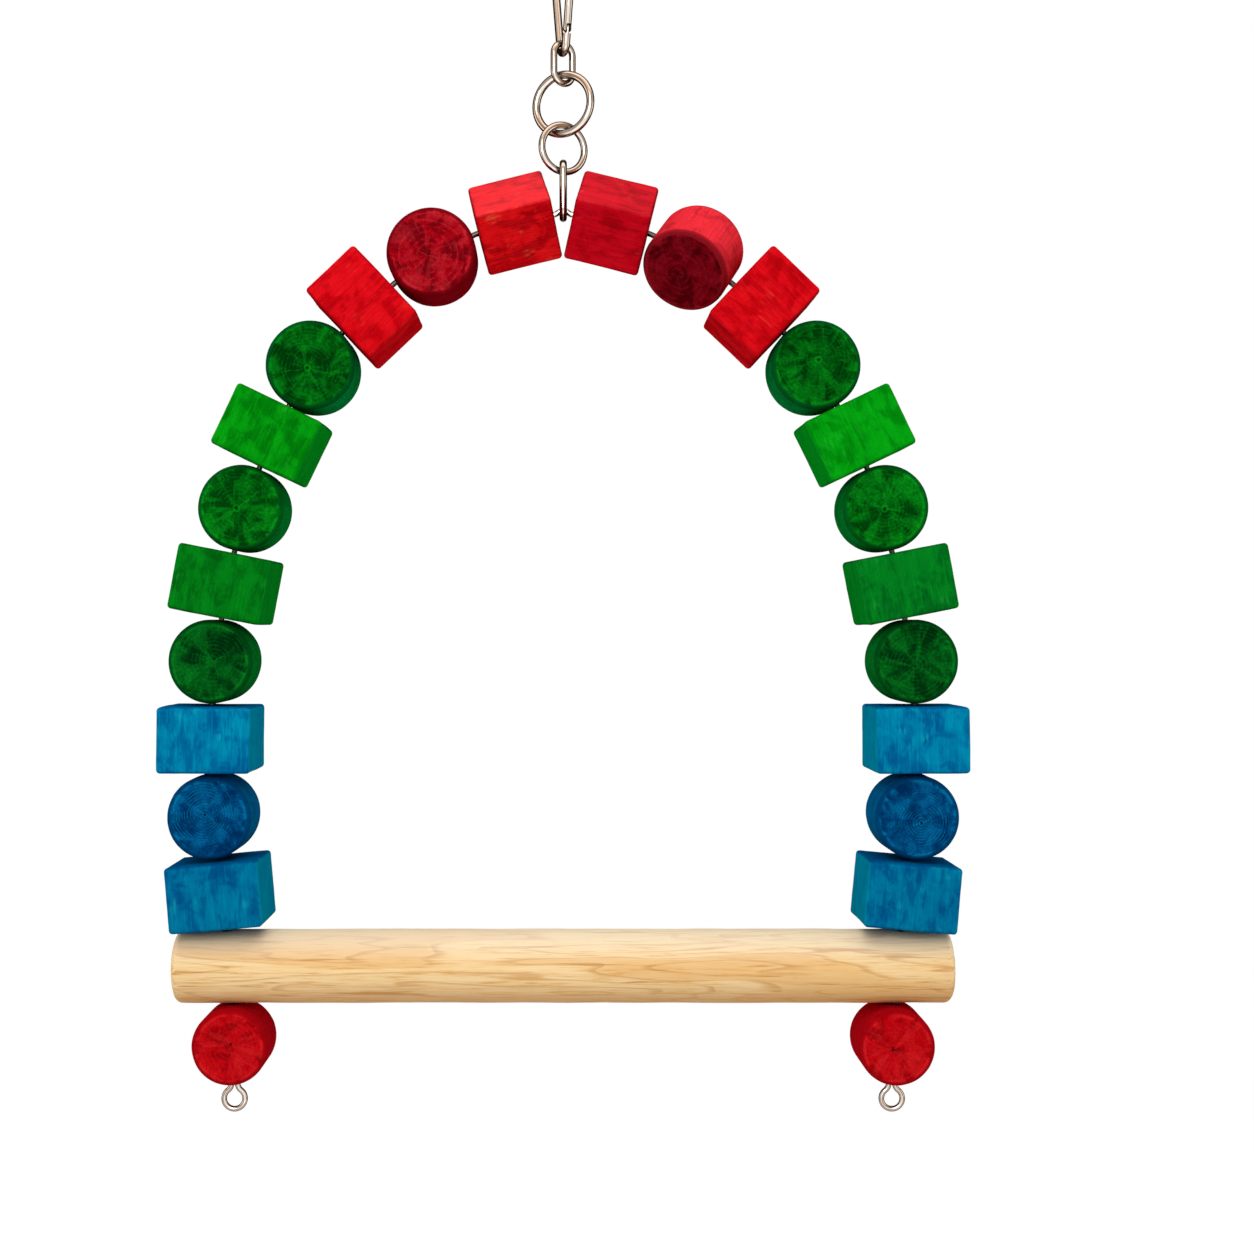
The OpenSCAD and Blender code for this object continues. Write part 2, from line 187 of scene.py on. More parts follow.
def use_group(tree, group, inputs):
    return place_node(tree, "Group", inputs, node_tree=group).outputs


print("group helper ready")

# %% [markdown]
# ### Growth rings
# The distance from the middle of the tree, made a little uneven, is cut into
# steps of one ring. Each ring ends in a thin dark line of late wood. Rays run
# outwards from the middle. They come from noise that is read mostly along the
# direction, so it hardly changes on the way out. A coarser one gives petals.

# %% Build the growth rings group
tree, given, result = open_group(
    "growth_rings",
    [("Place", "Vector", None), ("Ring Width", "Float", 1.6), ("Wobble", "Float", 2.0),
     ("Wobble Size", "Float", 0.06), ("Seed", "Float", 0.0)],
    ["Ring", "Ray", "Petal", "Pith", "Radius"])
squeezed = on_vectors(tree, "MULTIPLY", given["Place"], (1, 1, 0.12))
push = place_node(tree, "TexNoise", {"Vector": squeezed, "Scale": given["Wobble Size"], "W": given["Seed"],
                                     "Detail": 3.0}, noise_dimensions="4D")
centred = on_vectors(tree, "SUBTRACT", push.outputs["Color"], (0.5, 0.5, 0.5))
spread = place_node(tree, "VectorMath", {0: centred, "Scale": given["Wobble"]}, operation="SCALE").outputs[0]
pushed = on_vectors(tree, "ADD", given["Place"], spread)
flat = on_vectors(tree, "MULTIPLY", pushed, (1, 1, 0))
away = length_of(tree, flat)
steps = work_out(tree, "FRACT", work_out(tree, "DIVIDE", away, given["Ring Width"]))
late = work_out(tree, "POWER", steps, 4.0)
tree.links.new(times(tree, late, fade(tree, steps, 0.9, 1.0, 1.0, 0.0)), result["Ring"])
outward = on_vectors(tree, "NORMALIZE", flat)


def along_ray(follow, scale, detail, roughness):
    place = on_vectors(tree, "ADD", outward, on_vectors(tree, "MULTIPLY", squeezed, (follow, follow, 1.0)))
    return grainy(tree, place, scale, given["Seed"], detail=detail, roughness=roughness)


tree.links.new(fade(tree, along_ray(0.018, 13.0, 4.0, 0.7), 0.36, 0.68), result["Ray"])
tree.links.new(fade(tree, along_ray(0.03, 2.6, 3.0, 0.5), 0.4, 0.66), result["Petal"])
tree.links.new(fade(tree, away, 0.35, 0.9, 1.0, 0.0), result["Pith"])
tree.links.new(away, result["Radius"])
tree_rings = tree
print("growth rings:", len(tree.nodes), "nodes")

# %% [markdown]
# ### Dye clouds
# Dye soaks in unevenly. Broad soft clouds make the colour run from deep to
# pale, smaller ones break their edges, and long fibres drink more or less of
# it than their neighbours. The group gives a cloud, the fibres, and a few
# sparse scuffs where the dye has been rubbed off.

# %% Build the dye clouds group
tree, given, result = open_group(
    "dye_clouds",
    [("Place", "Vector", None), ("Cloud Size", "Float", 16.0), ("Seed", "Float", 0.0)],
    ["Cloud", "Fibre", "Streak", "Dash", "Scuff", "Speckle"])


def stuff(scale, share=1, **habits):
    """Noise in the wood, drawn out along the grain where share is less than one."""
    place = given["Place"] if share == 1 else on_vectors(tree, "MULTIPLY", given["Place"], (1, 1, share))
    return grainy(tree, place, scale, given["Seed"], **habits)


broad = stuff(work_out(tree, "DIVIDE", 1.0, given["Cloud Size"]), detail=3.0, roughness=0.6, distortion=0.8)
fibre = stuff(1.1, 0.05, detail=3.0, roughness=0.7)
streak = stuff(0.16, 0.34, detail=5.0, roughness=0.6, distortion=0.4)
dash = stuff(0.42, 0.28)
patch = stuff(0.11, detail=1.0)
bristle = stuff(0.7, 0.16, detail=3.0, roughness=0.6)
speckle = stuff(1.3, roughness=0.8)
tree.links.new(fade(tree, broad, 0.32, 0.68), result["Cloud"])
tree.links.new(fade(tree, fibre, 0.3, 0.7), result["Fibre"])
tree.links.new(fade(tree, streak, 0.33, 0.67), result["Streak"])
tree.links.new(fade(tree, dash, 0.63, 0.74), result["Dash"])
tree.links.new(times(tree, fade(tree, patch, 0.6, 0.74), fade(tree, bristle, 0.44, 0.72)), result["Scuff"])
tree.links.new(fade(tree, speckle, 0.34, 0.66), result["Speckle"])
dye_clouds = tree
print("dye clouds:", len(tree.nodes), "nodes")

# %% [markdown]
# ### Rubbed edges of a block
# Corners knock against each other and lose a little colour. On a block the
# edges lie where two of the three distances to its faces are small at once.
# Its two ends lie where the distance along the grain is small.

# %% Build the block edges group
tree, given, result = open_group(
    "block_edges",
    [("Place", "Vector", None), ("Half Size", "Vector", (25, 25, 19)), ("Reach", "Float", 2.2)],
    ["Edge", "End"])
inside = on_vectors(tree, "SUBTRACT", given["Half Size"], on_vectors(tree, "ABSOLUTE", given["Place"]))
gap = split(tree, inside)
near = []
for axis in range(3):
    share = work_out(tree, "DIVIDE", gap[axis], given["Reach"])
    near.append(work_out(tree, "SUBTRACT", 1.0, share, clamp=True))
pairs = [times(tree, near[first], near[second]) for first, second in ((0, 1), (1, 2), (0, 2))]
both = work_out(tree, "MAXIMUM", work_out(tree, "MAXIMUM", pairs[0], pairs[1]), pairs[2])
tree.links.new(fade(tree, both, 0.12, 0.75), result["Edge"])
tree.links.new(fade(tree, gap[2], 0.4, 1.6, 1.0, 0.0), result["End"])
block_edges = tree
print("block edges:", len(tree.nodes), "nodes")

# %% [markdown]
# ### The rim of a round
# A round has no corners, but its rim is rolled. The group says where its two
# flat faces are, where the rolled rim is, and where the thin crest between
# them is, which gets a painted highlight.

# %% Build the round rim group
tree, given, result = open_group(
    "round_rim",
    [("Place", "Vector", None), ("Radius", "Float", 24.0), ("Half Thickness", "Float", 17.5),
     ("Rim", "Float", 3.0)],
    ["Face", "Bevel", "Crest Highlight"])
axes = split(tree, given["Place"])
reach = length_of(tree, place_node(tree, "CombineXYZ", {0: axes[0], 1: axes[1]}).outputs[0])
depth = work_out(tree, "SUBTRACT", given["Half Thickness"], work_out(tree, "ABSOLUTE", axes[2]))
inner = work_out(tree, "SUBTRACT", given["Radius"], given["Rim"])
past = work_out(tree, "DIVIDE", work_out(tree, "SUBTRACT", reach, inner), given["Rim"])
sunk = work_out(tree, "DIVIDE", depth, given["Rim"])
bevel = times(tree, fade(tree, past, 0.0, 0.45), fade(tree, sunk, 0.75, 1.15, 1.0, 0.0))
# The crest of the rolled rim, which gets a painted highlight.
crest_highlight = times(tree, fade(tree, past, -0.45, -0.05), fade(tree, past, 0.0, 0.4, 1.0, 0.0))
tree.links.new(fade(tree, sunk, 0.25, 0.8, 1.0, 0.0), result["Face"])
tree.links.new(bevel, result["Bevel"])
tree.links.new(times(tree, crest_highlight, fade(tree, sunk, 0.3, 0.9, 1.0, 0.0)), result["Crest Highlight"])
round_rim = tree
print("round rim:", len(tree.nodes), "nodes")


# %% [markdown]
# ## Finishes
# A finish starts with the piece's own coordinates. A Mapping node set to the
# bead's place and turn brings them to the bead's middle, with the wire along
# Z, and counts in millimetres. Then the rings, clouds and edges are laid over
# each other, pale to deep.


# %% Start a finish in a piece's own coordinates
WOOD_SHINE = 0.0


def open_material(name):
    made = bpy.data.materials.new(name)
    made.use_nodes = True
    surface = next(node for node in made.node_tree.nodes if node.type == "BSDF_PRINCIPLED")
    return made, made.node_tree, surface


def start_finish(name, centre, turn):
    finish, tree, surface = open_material(name)
    coordinates = place_node(tree, "TexCoord")
    own = place_node(tree, "Mapping", {"Vector": coordinates.outputs["Object"], "Location": centre,
                                       "Rotation": turn, "Scale": (MM, MM, MM)}, vector_type="TEXTURE")
    return finish, tree, surface, own.outputs[0]


def layers(tree, colour, coats):
    """Lays each coat over what is under it. A coat is a colour, a mask and its strength."""
    for over, mask, strength in coats:
        colour = mix_colours(tree, times(tree, mask, strength), colour, over)
    return colour


def end_wood(tree, surface, colour, roughness, height, depth, shine=WOOD_SHINE):
    tree.links.new(colour, surface.inputs["Base Color"])
    tree.links.new(roughness, surface.inputs["Roughness"])
    bump = place_node(tree, "Bump", {"Height": height, "Distance": depth})
    tree.links.new(bump.outputs[0], surface.inputs["Normal"])
    surface.inputs["Specular IOR Level"].default_value = shine


print("finish helpers ready")


# %% [markdown]
# ### Dyed block
# A block is sawn from a board, with the grain along the wire. Its sides show
# long faint lines and its two ends the darker, thirstier end grain. The cubes
# at the crown turn one side upwards, and that side is painted lighter, as
# painted light from above. The cheeks of the green and blue blocks took the dye
# a little differently.


# %% Dyed block finish
# Painted light: the colour added to a cube's upper side, for the light from above.
UPPER_PAINTED_LIGHT_TINT = (0.09, 0.023, 0.028, 1.0)


def block_finish(name, centre, turn, size, colours, seed, patchy, painted_light_up, cheek, tree_middle):
    deep, middle, pale, rubbed = colours
    finish, tree, surface, own = start_finish(name, centre, turn)
    clouds = use_group(tree, dye_clouds, {"Place": own, "Cloud Size": 15.0, "Seed": seed})
    rings = use_group(tree, tree_rings, {"Place": on_vectors(tree, "ADD", own, (*tree_middle, 0)),
                                         "Ring Width": 6.5, "Wobble": 9.0, "Wobble Size": 0.05, "Seed": seed})
    edges = use_group(tree, block_edges, {"Place": own, "Half Size": tuple(side / 2 for side in size)})
    colour = layers(tree, middle, [
        (pale, clouds["Cloud"], patchy),
        (deep, fade(tree, clouds["Cloud"], 0.4, 0.05), 0.5),
        (deep, fade(tree, clouds["Streak"], 0.5, 0.05), 0.6),
        (pale, fade(tree, clouds["Streak"], 0.6, 1.0), 0.4),
        (deep, clouds["Fibre"], 0.32),
        (pale, fade(tree, clouds["Fibre"], 0.42, 0.0), 0.4),
        (deep, rings["Ring"], 0.22),
        (deep, clouds["Dash"], 0.45),
        (rubbed, clouds["Scuff"], 0.55)])
    across, flank = split(tree, own)[0], size[0] / 2
    # Painted light: the cube's upper side is made lighter, as if lit from above.
    if painted_light_up != 0:
        outward = times(tree, across, math.copysign(1.0, painted_light_up))
        painted_light_on_upper_side = fade(tree, outward, flank - 1.6, flank - 0.7, 0.0, abs(painted_light_up))
        colour = mix_colours(tree, painted_light_on_upper_side, colour, UPPER_PAINTED_LIGHT_TINT, way="ADD")
    if cheek is not None:
        on_cheek = fade(tree, work_out(tree, "ABSOLUTE", across), flank - 1.2, flank - 0.4)
        colour = layers(tree, colour, [(cheek, on_cheek, 0.6)])
    outline = times(tree, edges["Edge"], fade(tree, clouds["Speckle"], 0.1, 0.7, 1.0, 0.35))
    worn = times(tree, edges["Edge"], fade(tree, clouds["Cloud"], 0.55, 0.95))
    colour = layers(tree, colour, [(deep, edges["End"], 0.7), (deep, outline, 0.75), (rubbed, worn, 0.4)])
    roughness = work_out(tree, "MULTIPLY_ADD", clouds["Fibre"], 0.14, 0.5)
    height = work_out(tree, "MULTIPLY_ADD", clouds["Speckle"], 0.4, clouds["Fibre"])
    end_wood(tree, surface, colour, roughness, height, 0.08 * MM)
    return finish


print("block finish ready")


# %% [markdown]
# ### Dyed round
# A round is a slice of a thin trunk, so its faces show whole growth rings,
# rays and the pith in the middle. Its rounded rim is coloured darker, and just
# inside it runs a painted highlight along the crest. The bark side is smoother.


# %% Dyed round finish
ROUND_THICKNESS = 35
PITH_DARK = dye(18, 8, 8)


def round_finish(name, centre, turn, radius, colours, seed, pith, bark, ring_width=2.2, ring_strength=0.45,
                 ring_reach=40.0, petal_strength=0.36, crest_highlight_strength=0.35, halo_strength=0.0):
    deep, middle, pale, rubbed = colours
    finish, tree, surface, own = start_finish(name, centre, turn)
    upright = place_node(tree, "Mapping", {"Vector": own, "Rotation": (math.radians(90), 0, 0)}).outputs[0]
    cut = on_vectors(tree, "ADD", upright, (-pith[0], -pith[1], 0))
    rings = use_group(tree, tree_rings, {"Place": cut, "Ring Width": ring_width, "Wobble": 3.4,
                                         "Wobble Size": 0.07, "Seed": seed})
    clouds = use_group(tree, dye_clouds, {"Place": upright, "Cloud Size": 11.0, "Seed": seed + 3})
    rim = use_group(tree, round_rim, {"Place": upright, "Radius": radius, "Rim": 3.2,
                                      "Half Thickness": ROUND_THICKNESS / 2})
    cloud, radius_here = clouds["Cloud"], rings["Radius"]

    def on_face(mask):
        return times(tree, mask, rim["Face"])

    rays = on_face(rings["Ray"])
    petals = times(tree, fade(tree, rings["Petal"], 0.3, 1.0),
                   fade(tree, clouds["Speckle"], 0.9, 0.1, 0.7, 1.0))
    ring_mask = times(tree, rings["Ring"], fade(tree, radius_here, ring_reach, ring_reach + 5, 1, 0))
    ring_mask = times(tree, ring_mask, fade(tree, clouds["Streak"], 0.3, 0.8, 0.15, 1.0))
    face = layers(tree, middle, [
        (pale, fade(tree, cloud, 0.45, 0.95), 0.6),
        (deep, fade(tree, cloud, 0.55, 0.1), 0.85),
        (deep, rays, 0.5),
        (rubbed, on_face(petals), petal_strength),
        (rubbed, on_face(fade(tree, cloud, 0.55, 0.95)), 0.18),
        (rubbed, on_face(ring_mask), ring_strength),
        (deep, clouds["Speckle"], 0.4),
        (rubbed, on_face(clouds["Scuff"]), 0.35)])
    halo = times(tree, fade(tree, radius_here, 0.9, 1.5), fade(tree, radius_here, 1.6, 2.3, 1, 0))
    flat = split(tree, cut)
    bend = work_out(tree, "MULTIPLY_ADD", flat[0], math.tan(seed), flat[1])
    crack = times(tree, fade(tree, work_out(tree, "ABSOLUTE", bend), 0.1, 0.5, 1, 0),
                  fade(tree, radius_here, 4.0, 6.5, 1, 0))
    colour = layers(tree, bark, [
        (deep, clouds["Fibre"], 0.28),
        (deep, fade(tree, cloud, 0.5, 0.1), 0.25),
        (face, rim["Face"], 1.0),
        (bark, rim["Bevel"], 0.5),
        (deep, rim["Bevel"], 0.6),
        # Painted highlight along the crest of the rim.
        (rubbed, times(tree, rim["Crest Highlight"], fade(tree, cloud, 0.4, 0.8)), crest_highlight_strength),
        (rubbed, on_face(halo), halo_strength),
        (rubbed, on_face(crack), 0.35),
        (PITH_DARK, on_face(rings["Pith"]), 0.9)])
    roughness = work_out(tree, "MULTIPLY_ADD", clouds["Speckle"], 0.16, 0.46)
    height = work_out(tree, "MULTIPLY_ADD", clouds["Speckle"], 0.4, rays)
    height = work_out(tree, "MULTIPLY_ADD", rings["Pith"], -4.0, height)
    end_wood(tree, surface, colour, roughness, height, 0.1 * MM)
    return finish


print("round finish ready")


# %% [markdown]
# ### Plain pine
# The perch is a turned pine dowel. Its rings run nearly along it, so they come
# out as long lines, with a flame figure where they lie level with the surface.
# The flame is a slow noise drawn out along the grain and cut into steps, like
# the height lines of a map. The top is painted paler, as painted light, and the
# underside deeper, as painted shade.


# %% Pine finish
def pine_finish(name, centre, seed=4.0):
    finish, tree, surface, own = start_finish(name, centre, (0, math.radians(90), 0))

    def drawn_out(share, scale, step, **habits):
        place = on_vectors(tree, "MULTIPLY", own, (1, 1, share))
        return grainy(tree, place, scale, seed + step, **habits)

    flame = drawn_out(0.085, 0.055, 0, roughness=0.4, distortion=0.12)
    contour = work_out(tree, "FRACT", times(tree, flame, 13.0))
    line = times(tree, fade(tree, contour, 0.72, 0.93), fade(tree, contour, 0.95, 1.0, 1.0, 0.0))
    thin = drawn_out(0.045, 0.8, 1, detail=4.0, roughness=0.65, distortion=0.3)
    wavy = drawn_out(0.04, 0.5, 3, detail=3.0, distortion=0.35)
    dash = drawn_out(0.08, 1.1, 9, roughness=0.6)
    drop_for_painted_light = split(tree, own)[0]
    colour = layers(tree, dye(250, 218, 166), [
        (dye(243, 200, 136), fade(tree, thin, 0.35, 0.65), 1.0),
        (dye(236, 184, 116), fade(tree, flame, 0.5, 0.56), 0.65),
        (dye(208, 150, 84), times(tree, line, fade(tree, wavy, 0.3, 0.55)), 0.6),
        (dye(200, 134, 68), fade(tree, wavy, 0.6, 0.69), 0.75),
        (dye(208, 146, 82), fade(tree, thin, 0.54, 0.68), 0.6),
        (dye(186, 130, 76), fade(tree, dash, 0.69, 0.78), 0.55),
        # Painted light on the top of the perch and painted shade on its underside.
        (dye(255, 244, 222), fade(tree, drop_for_painted_light, -3, -20), 0.5),
        (dye(206, 148, 88), fade(tree, drop_for_painted_light, 4, 21), 0.7)])
    roughness = fade(tree, thin, 0.3, 0.7, 0.5, 0.6)
    height = work_out(tree, "MULTIPLY_ADD", fade(tree, wavy, 0.62, 0.7), -0.8, thin)
    end_wood(tree, surface, colour, roughness, height, 0.1 * MM, shine=0.04)
    return finish


print("pine finish ready")


# %% [markdown]
# ### Nickel plate
# The hardware is steel wire with a bright, slightly warm nickel plate. It is
# nearly a mirror, and a painted reflection in its colour runs from a bright
# middle to dark edges by the angle that it is seen at. Faint smears from
# handling keep it from looking like glass. Between the beads the arch wire is
# painted dark, as painted shade.


# %% Nickel finish
def nickel_finish(name, painted_reflection_tones, roughness, seed, painted_shade_amount=0.0):
    bright, band, soft, edge = painted_reflection_tones
    finish, tree, surface, own = start_finish(name, (0, 0, 0), (0, 0, 0))
    # Painted reflection: the colour runs from a bright middle through darker bands to dark edges by the angle the
    # surface is seen at.
    facing_for_painted_reflection = place_node(tree, "LayerWeight", {"Blend": 0.5}).outputs["Facing"]
    smear = grainy(tree, own, 0.16, seed)
    lean = work_out(tree, "MULTIPLY_ADD", smear, 0.1, work_out(tree, "ADD", facing_for_painted_reflection, -0.05))
    colour = layers(tree, bright, [
        (band, fade(tree, lean, 0.02, 0.1), 1.0),
        (soft, fade(tree, lean, 0.13, 0.22), 0.8),
        (edge, fade(tree, lean, 0.26, 0.48), 1.0)])
    # Painted shade: the arch wire away from its peak and above its eyes, where it runs between the beads, is
    # darkened.
    if painted_shade_amount > 0:
        spot = split(tree, own)
        off_middle = fade(tree, work_out(tree, "ABSOLUTE", spot[0]), 8, 12)
        above_eyes = fade(tree, spot[2], -656, -650)
        colour = layers(tree, colour, [(dye(44, 22, 18), times(tree, off_middle, above_eyes), painted_shade_amount)])
    tree.links.new(colour, surface.inputs["Base Color"])
    tree.links.new(fade(tree, smear, 0.3, 0.75, roughness, roughness + 0.08), surface.inputs["Roughness"])
    surface.inputs["Metallic"].default_value = 1.0
    return finish


# Colours of the painted reflection: bright middle, band, soft band and dark edge.
NICKEL_PAINTED_REFLECTION_TONES = (dye(236, 230, 220), dye(138, 113, 94), dye(184, 165, 147), dye(50, 27, 20))
STEEL_PAINTED_REFLECTION_TONES = (dye(200, 198, 194), dye(130, 128, 126), dye(160, 158, 154), dye(50, 46, 44))
nickel = nickel_finish("nickel_plate", NICKEL_PAINTED_REFLECTION_TONES, 0.12, 1.0)
# The arch wire's plate, with painted shade between the beads.
arch_nickel = nickel_finish("nickel_plate_painted_shade_between_beads", NICKEL_PAINTED_REFLECTION_TONES, 0.14, 3.0, painted_shade_amount=0.92)
spring_steel = nickel_finish("spring_wire_steel", STEEL_PAINTED_REFLECTION_TONES, 0.25, 6.0)
print("metal finishes", nickel.name, spring_steel.name)


# %% [markdown]
# ## Making the pieces
# Each new piece is shaped round the origin, moved to its place in its mesh,
# and then rides on the body of the solid that it stands for.


# %% Finish a piece and hang it on its body
def settle(mesh, name, node, finish, place=None, crease=40):
    if place is not None:
        mesh.transform(place)
    mesh.shade_smooth()
    mesh.set_sharp_from_angle(angle=math.radians(crease))
    mesh.materials.clear()
    mesh.materials.append(finish)
    piece = put_in_scene(name, mesh)
    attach(piece, body_of[node])
    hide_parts(node)
    return piece


def to_mesh(shape, name):
    bmesh.ops.recalc_face_normals(shape, faces=shape.faces)
    mesh = bpy.data.meshes.new(name)
    shape.to_mesh(mesh)
    shape.free()
    return mesh


print("bodies used:", len(set(body_of.values())))


# %% [markdown]
# ### Hand-made unevenness
# Sawn and tumbled wood is never quite true. Tumbling first takes a hair off the
# whole piece. Then every point is pushed a little by a slow noise, and less by
# a quicker one. No seed is set for this noise, so each run draws it anew, and
# the wood comes out a few tenths of a millimetre different. Holes are drilled
# last, with round bits.


# %% Push the surface about, and drill it
WORN_DOWN = 0.992
BEAD_BORE, FOOT_BORE, PERCH_BORE = 5.5, 8, 9
BIT_SPARE = 4


def make_uneven(shape, seed, slow=0.28, quick=0.09):
    for vert in shape.verts:
        here = vert.co / MM + Vector((seed * 31.7, seed * 17.3, seed * 11.1))
        vert.co *= WORN_DOWN
        vert.co += (noise.noise_vector(here / 26) * slow + noise.noise_vector(here / 5) * quick) * MM


def drill(mesh, bores):
    """Cuts round holes. A bore is its diameter, its length and the matrix that lays it from Z."""
    block = put_in_scene("being_drilled", mesh)
    bits = []
    for diameter, length, lay in bores:
        shape = bmesh.new()
        bmesh.ops.create_cone(shape, cap_ends=True, segments=32, radius1=diameter * MM / 2,
                              radius2=diameter * MM / 2, depth=length * MM, matrix=lay)
        bits.append(put_in_scene("bit", to_mesh(shape, "bit")))
        cut = block.modifiers.new("bore", "BOOLEAN")
        cut.operation, cut.solver, cut.object = "DIFFERENCE", "EXACT", bits[-1]
    bpy.context.view_layer.update()
    drilled = bpy.data.meshes.new_from_object(block.evaluated_get(bpy.context.evaluated_depsgraph_get()))
    for spare in [block, *bits]:
        spare_mesh = spare.data
        bpy.data.objects.remove(spare)
        bpy.data.meshes.remove(spare_mesh)
    return drilled


def round_over(shape, edges, width, segments):
    bmesh.ops.bevel(shape, geom=edges, offset=width * MM, offset_type="OFFSET", segments=segments,
                    profile=0.5, affect="EDGES", clamp_overlap=True, material=-1)


def grid_long_edges(shape, longest, cuts):
    edges = [edge for edge in shape.edges if edge.calc_length() > longest]
    bmesh.ops.subdivide_edges(shape, edges=edges, cuts=cuts, use_grid_fill=True)


print("wood tools ready")


# %% [markdown]
# ### Blocks
# A block starts as a cube. Bevel rounds all its edges at once. The flat faces
# are then cut into a grid, so that the unevenness has points to move, and the
# bore is drilled last, as it was in the workshop.


# %% Cut a block
BLOCK_EDGE = 2.2


def cut_block(size, seed):
    shape = bmesh.new()
    bmesh.ops.create_cube(shape, size=1.0)
    bmesh.ops.scale(shape, vec=Vector(size) * MM, verts=shape.verts)
    round_over(shape, list(shape.edges), BLOCK_EDGE, 5)
    grid_long_edges(shape, 20 * MM, 11)
    make_uneven(shape, seed)
    return drill(to_mesh(shape, "block"), [(BEAD_BORE, size[2] + BIT_SPARE, Matrix.Identity(4))])


print("block edges", BLOCK_EDGE, "mm")


# %% [markdown]
# ### Rounds
# A round starts as a short cylinder lying along Y. Its two rims are rolled,
# its caps are inset a few times and drawn together at the middle, and it is
# drilled across, from rim to rim. The perch is turned the same way.


# %% Slice a round
ROUND_RIM = 3


def caps_of(shape):
    return [face for face in shape.faces if len(face.verts) > 4]


def turn_bar(diameter, length, lay, rim, insets):
    shape = bmesh.new()
    bmesh.ops.create_cone(shape, cap_ends=True, segments=96, radius1=diameter / 2 * MM,
                          radius2=diameter / 2 * MM, depth=length * MM, matrix=lay)
    round_over(shape, [edge for cap in caps_of(shape) for edge in cap.edges], rim, 6)
    caps = caps_of(shape)
    for width in insets:
        bmesh.ops.inset_individual(shape, faces=caps, thickness=width * MM, use_even_offset=True)
    bmesh.ops.poke(shape, faces=caps)
    return shape


def slice_round(diameter, seed, bore):
    lay = Matrix.Rotation(math.radians(90), 4, "X")
    shape = turn_bar(diameter, ROUND_THICKNESS, lay, ROUND_RIM, (0.8, 4, 4, 4, 4))
    grid_long_edges(shape, (ROUND_THICKNESS - 2 * ROUND_RIM) * 0.9 * MM, 7)
    make_uneven(shape, seed, slow=0.22, quick=0.06)
    return drill(to_mesh(shape, "round"), [(bore, diameter + BIT_SPARE, Matrix.Identity(4))])


print("rounds", ROUND_THICKNESS, "mm thick")


# %% [markdown]
# ### Where each bead sits
# Every bead has a joint, because it can spin on the wire. The joint says where
# the bead's middle is and which way the wire runs through it, so nothing has
# to be measured again. Only the turn about the wire is added here.


# %% Find a bead's place and turn
def bead_matrix(name, roll=0.0):
    joint = joints[name + "_spin"]
    down_wire = Vector(joint["axis"]).normalized()
    back = Vector((0, 1, 0))
    across = back.cross(down_wire)
    turn = Matrix((across, back, down_wire)).transposed().to_4x4()
    return Matrix.Translation(joint["pos_m"]) @ turn @ Matrix.Rotation(math.radians(roll), 4, "Z")


print("first bead at", [round(part, 4) for part in bead_matrix("red_cube_left").to_translation()])

# %% [markdown]
# ### Colours
# Each recipe gives the deep, the middle, the pale and the rubbed colour. No two
# beads took the dye alike, so a few have a recipe of their own. The darker one
# for the rolled red round is painted shade. The upper side of each cube gets
# painted light, the left one more. The sign of its amount says which way the
# bead's own X points there.

# %% Dye recipes
RED_BLOCK = (dye(166, 3, 12), dye(212, 6, 18), dye(234, 20, 30), dye(240, 60, 50))
RED_CUBE = (dye(150, 2, 10), dye(228, 9, 19), dye(244, 26, 30), dye(246, 110, 72))
CRIMSON_CUBE = (dye(146, 2, 14), dye(200, 4, 20), dye(216, 14, 34), dye(226, 74, 66))
RED_ROUND = (dye(104, 2, 12), dye(182, 4, 20), dye(186, 14, 30), dye(214, 48, 58))
# Painted shade: a darker copy of the red round, for the rolled round's faces that turn downwards.
RED_ROUND_PAINTED_SHADE = (dye(70, 1, 8), dye(124, 2, 16), dye(130, 6, 20), dye(160, 26, 38))
FOOT_ROUND = (dye(140, 3, 10), dye(208, 7, 18), dye(214, 14, 24), dye(228, 40, 42))
GREEN_BLOCK = (dye(1, 118, 10), dye(3, 148, 14), dye(8, 172, 20), dye(44, 192, 54))
FRESH_BLOCK = (dye(1, 104, 8), dye(3, 136, 12), dye(8, 164, 18), dye(44, 188, 50))
MOSS_BLOCK = (dye(1, 84, 14), dye(2, 110, 18), dye(6, 136, 26), dye(40, 166, 62))
DARK_GREEN_BLOCK = (dye(1, 84, 24), dye(3, 114, 30), dye(6, 138, 32), dye(44, 168, 72))
GREEN_ROUND = (dye(1, 46, 8), dye(2, 90, 14), dye(4, 120, 18), dye(12, 158, 28))
DEEP_ROUND = (dye(1, 40, 12), dye(2, 80, 19), dye(4, 106, 26), dye(14, 142, 38))
LIT_ROUND = (dye(1, 54, 9), dye(2, 106, 15), dye(4, 138, 20), dye(16, 170, 32))
BLUE_BLOCK = (dye(0, 82, 138), dye(1, 108, 160), dye(2, 146, 180), dye(26, 188, 196))
DEEP_BLUE_BLOCK = (dye(0, 72, 126), dye(1, 96, 146), dye(2, 128, 164), dye(26, 172, 184))
BLUE_ROUND = (dye(0, 40, 86), dye(1, 76, 132), dye(2, 94, 154), dye(10, 142, 190))
BLOCK_SIZE = (53, 50, 37.6)
CUBE_SIZE = (39, 39, 44)
# Painted light on each cube's upper side: its amount, with a sign for which way the bead's own X points.
UPPER_PAINTED_LIGHT_AMOUNT = {"left": 1.0, "right": -0.4}
CHEEKS = {"green": dye(3, 146, 36), "blue": dye(1, 146, 174)}
print("recipes ready")

# %% [markdown]
# ### All the blocks and cubes
# The list runs down the arch, and each kind is made for the left and then the
# right side. Each bead has a seed of its own, so that no two have the same
# figure. The cubes are also rolled on the wire, one edge towards the camera.

